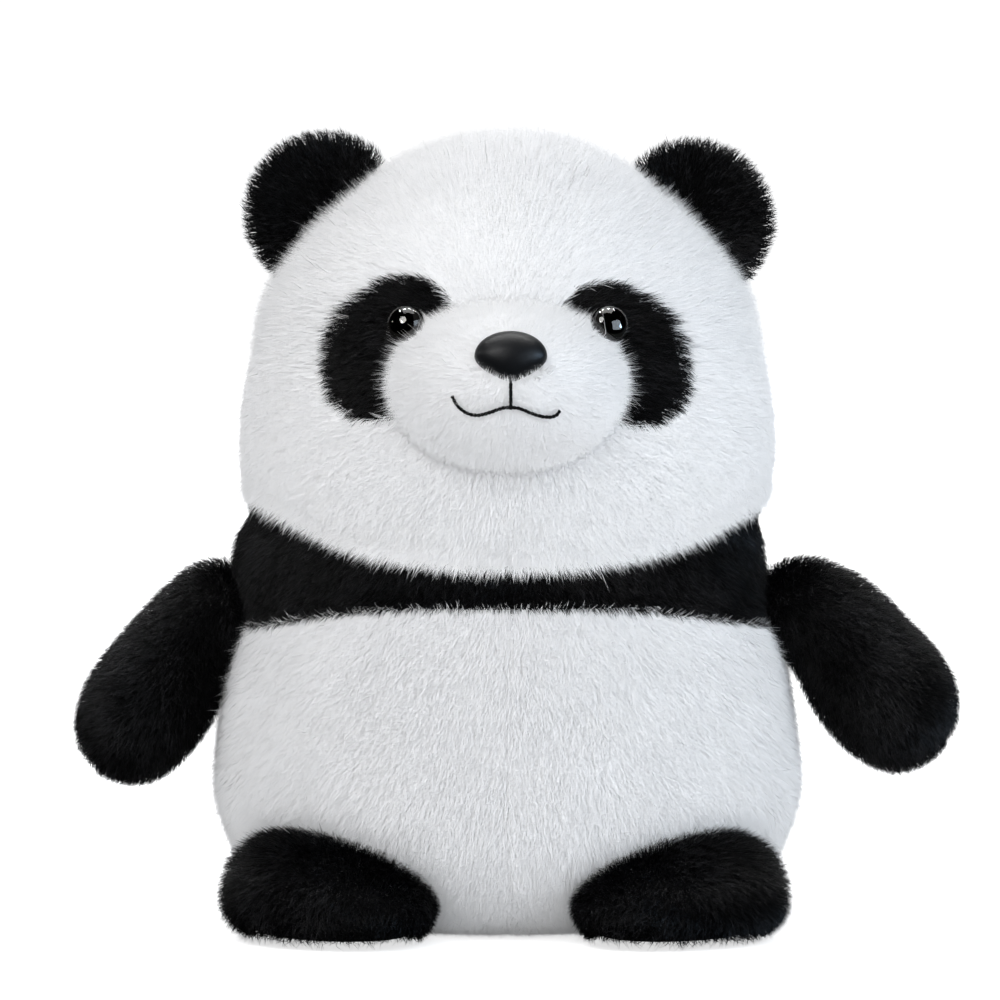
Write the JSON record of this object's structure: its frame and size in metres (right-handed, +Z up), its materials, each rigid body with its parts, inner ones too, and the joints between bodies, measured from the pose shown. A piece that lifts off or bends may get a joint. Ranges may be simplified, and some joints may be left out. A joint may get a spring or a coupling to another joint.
{
  "type": "plush panda",
  "caption": "Standing plush panda with a merged head and body, folding ears, sprung swinging arms, flexing feet, plastic safety eyes and nose, and a flat base.",
  "frame": {"origin": "on the resting plane, on the flat base panel, below the middle of the body", "axes": "+Z up, the face looks along -Y, the toy's own left is +X"},
  "size_m": [0.2834, 0.1767, 0.2504],
  "materials": {
    "white_plush": "matte",
    "black_plush": "matte",
    "stuffing": "matte",
    "black_thread": "matte",
    "white_thread": "matte",
    "nose_plastic": "satin",
    "eye_black": "gloss",
    "eye_lens": "gloss",
    "washer_plastic": "matte"
  },
  "bodies": {
    "torso": {"left_face_panel": "white_plush", "left_head_back_panel": "white_plush", "left_eye_patch": "black_plush", "left_eye_pupil": "eye_black", "left_eye_lens": "eye_lens", "left_eye_washer": "washer_plastic", "right_face_panel": "white_plush", "right_head_back_panel": "white_plush", "right_eye_patch": "black_plush", "right_eye_pupil": "eye_black", "right_eye_lens": "eye_lens", "right_eye_washer": "washer_plastic", "muzzle_cover": "white_plush", "muzzle_stuffing": "stuffing", "nose": "nose_plastic", "nose_washer": "washer_plastic", "mouth_embroidery": "black_thread", "chest_band": "black_plush", "shoulder_band": "black_plush", "left_belly_panel": "white_plush", "left_back_panel": "white_plush", "right_belly_panel": "white_plush", "right_back_panel": "white_plush", "base_panel": "white_plush", "closing_seam_thread": "white_thread", "head_stuffing": "stuffing", "body_stuffing": "stuffing"},
    "left_shoulder": {"left_shoulder_seam": "black_thread"},
    "left_arm": {"left_arm_front": "black_plush", "left_arm_back": "black_plush", "left_arm_stuffing": "stuffing"},
    "left_foot": {"left_foot_upper": "black_plush", "left_foot_sole": "black_plush", "left_foot_stuffing": "stuffing"},
    "left_ear": {"left_ear_front": "black_plush", "left_ear_back": "black_plush", "left_ear_padding": "stuffing"},
    "right_shoulder": {"right_shoulder_seam": "black_thread"},
    "right_arm": {"right_arm_front": "black_plush", "right_arm_back": "black_plush", "right_arm_stuffing": "stuffing"},
    "right_foot": {"right_foot_upper": "black_plush", "right_foot_sole": "black_plush", "right_foot_stuffing": "stuffing"},
    "right_ear": {"right_ear_front": "black_plush", "right_ear_back": "black_plush", "right_ear_padding": "stuffing"}
  },
  "joints": [
    {"name": "left_arm_swing", "type": "hinge", "parent": "torso", "child": "left_shoulder", "pos_m": [0.092, 0, 0.102], "axis": [-1, 0, 0], "range_deg": [-35, 50], "stiffness_Nm_per_rad": 0.12},
    {"name": "left_arm_raise", "type": "hinge", "parent": "left_shoulder", "child": "left_arm", "pos_m": [0.092, 0, 0.102], "axis": [0, -1, 0], "range_deg": [-3, 60], "stiffness_Nm_per_rad": 0.12},
    {"name": "left_foot_flex", "type": "hinge", "parent": "torso", "child": "left_foot", "pos_m": [0.04307, -0.0446, 0.013], "axis": [-0.7193, -0.6947, 0], "range_deg": [0, 12], "stiffness_Nm_per_rad": 0.4},
    {"name": "left_ear_fold", "type": "hinge", "parent": "torso", "child": "left_ear", "pos_m": [0.0592, 0.004, 0.2262], "axis": [0.6266, 0, -0.7793], "range_deg": [-30, 35], "stiffness_Nm_per_rad": 0.03},
    {"name": "right_arm_swing", "type": "hinge", "parent": "torso", "child": "right_shoulder", "pos_m": [-0.092, 0, 0.102], "axis": [-1, 0, 0], "range_deg": [-35, 50], "stiffness_Nm_per_rad": 0.12},
    {"name": "right_arm_raise", "type": "hinge", "parent": "right_shoulder", "child": "right_arm", "pos_m": [-0.092, 0, 0.102], "axis": [0, 1, 0], "range_deg": [-3, 60], "stiffness_Nm_per_rad": 0.12},
    {"name": "right_foot_flex", "type": "hinge", "parent": "torso", "child": "right_foot", "pos_m": [-0.04307, -0.0446, 0.013], "axis": [-0.7193, 0.6947, 0], "range_deg": [0, 12], "stiffness_Nm_per_rad": 0.4},
    {"name": "right_ear_fold", "type": "hinge", "parent": "torso", "child": "right_ear", "pos_m": [-0.0592, 0.004, 0.2262], "axis": [0.6266, 0, 0.7793], "range_deg": [-30, 35], "stiffness_Nm_per_rad": 0.03}
  ]
}
